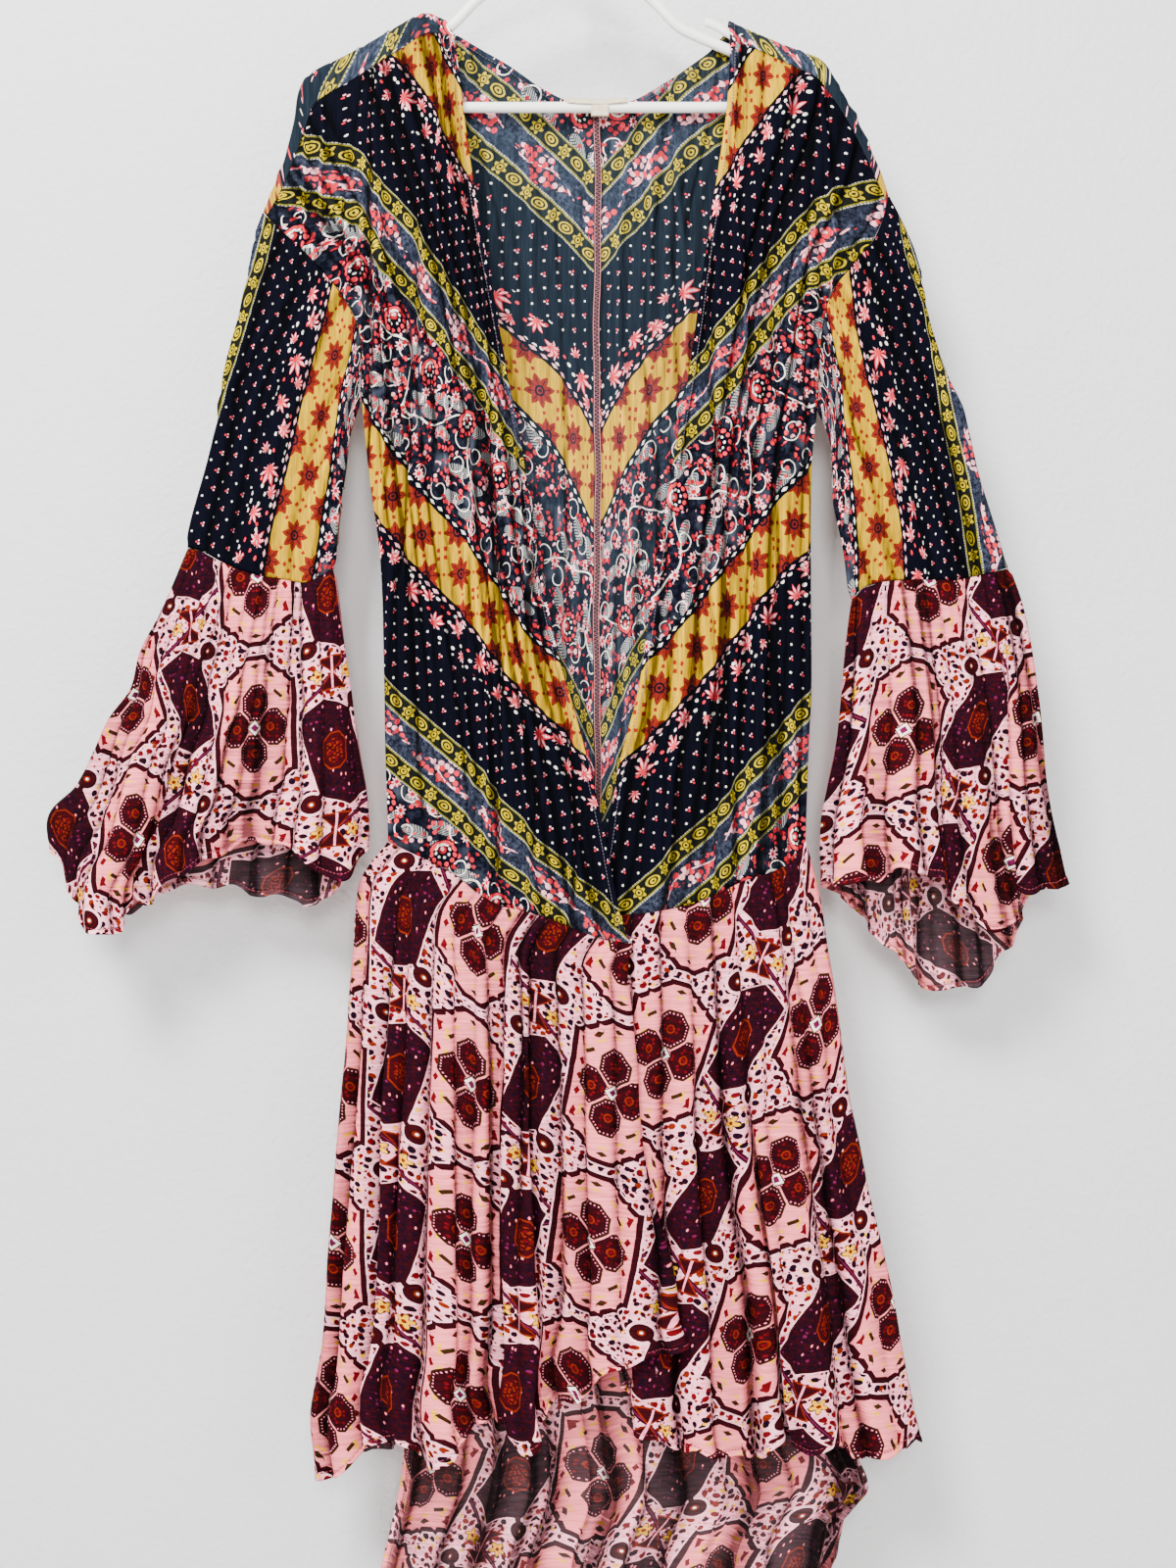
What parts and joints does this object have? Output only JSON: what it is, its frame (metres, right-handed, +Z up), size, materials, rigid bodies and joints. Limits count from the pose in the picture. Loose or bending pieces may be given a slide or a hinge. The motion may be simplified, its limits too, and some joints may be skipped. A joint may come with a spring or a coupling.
{
  "type": "kimono dress on a clothes hanger",
  "caption": "Open-front kimono dress with bell sleeves and a high-low flared skirt, hung on a plastic tube hanger.",
  "frame": {"origin": "the inside top of the hanger's hook, where a rail carries it", "axes": "+Z up, -Y out of the garment's front, +X to the right of someone who faces the front"},
  "size_m": [0.8302, 0.0548, 1.511],
  "materials": {
    "bodice": "crinkled rayon gauze, navy with mustard and slate stripes of small flowers",
    "skirt": "crinkled rayon gauze, pink with dark red medallions",
    "hanger": "moulded white plastic tube",
    "label": "woven cream tape, blank"
  },
  "bodies": {
    "root": {"hanger": "hanger", "back_left": "bodice", "back_right": "bodice", "front_left": "bodice", "front_right": "bodice", "sleeve_left": "bodice", "sleeve_right": "bodice", "flounce_left": "skirt", "flounce_right": "skirt", "skirt_front": "skirt", "skirt_back": "skirt", "neck_label": "label", "size_tag": "label"}
  },
  "joints": []
}
